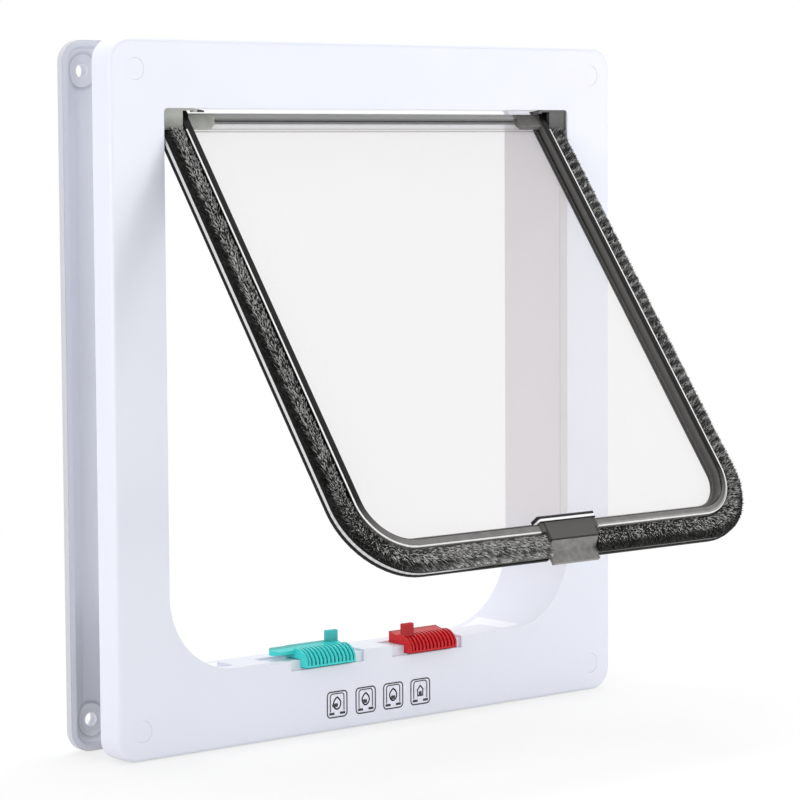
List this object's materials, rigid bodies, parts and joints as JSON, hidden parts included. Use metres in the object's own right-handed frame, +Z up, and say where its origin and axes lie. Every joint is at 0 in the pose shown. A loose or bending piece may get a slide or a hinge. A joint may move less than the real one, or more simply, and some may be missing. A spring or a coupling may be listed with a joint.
{
  "type": "cat flap",
  "caption": "Door cat flap: white indoor and outdoor frames with tunnel, clear swinging flap edged with brush pile, magnetic catch, green and red lock sliders.",
  "frame": {"origin": "centre of the outdoor frame's four screw holes, on the plane where that frame's rim meets the door", "axes": "+Z up, +X to the right seen from the room, +Y out of the room through the door"},
  "size_m": [0.235, 0.1429, 0.25],
  "materials": {
    "white_plastic": "smooth glossy moulded plastic",
    "green_plastic": "glossy moulded plastic, ribbed grip",
    "red_plastic": "glossy moulded plastic, ribbed grip",
    "clear_plastic": "clear polished sheet",
    "smoked_plastic": "smoke-grey translucent moulded plastic",
    "brush_pile": "dense dark grey pile",
    "steel": "plain steel"
  },
  "bodies": {
    "housing": {"front_frame": "white_plastic", "rear_frame": "white_plastic", "screw_caps": "white_plastic", "sill_magnet": "steel", "hinge_bracket_left": "smoked_plastic", "hinge_bracket_right": "smoked_plastic", "hinge_pin_left": "steel", "hinge_pin_right": "steel"},
    "flap": {"flap_panel": "clear_plastic", "flap_surround": "smoked_plastic", "flap_rear_rail": "smoked_plastic", "brush_left": "brush_pile", "brush_right": "brush_pile", "rear_brush_left": "brush_pile", "rear_brush_right": "brush_pile", "catch_block": "smoked_plastic", "flap_magnet": "steel"},
    "green_lock": {"green_slider": "green_plastic"},
    "red_lock": {"red_slider": "red_plastic"}
  },
  "joints": [
    {"name": "flap_swing", "type": "hinge", "parent": "housing", "child": "flap", "pos_m": [0, -0.0232, 0.098], "axis": [1, 0, 0], "range_deg": [-43.5, 116.5]},
    {"name": "green_lock_slide", "type": "slide", "parent": "housing", "child": "green_lock", "axis": [1, 0, 0], "range_m": [-0.0045, 0.006]},
    {"name": "red_lock_slide", "type": "slide", "parent": "housing", "child": "red_lock", "axis": [-1, 0, 0], "range_m": [-0.0045, 0.006]}
  ]
}
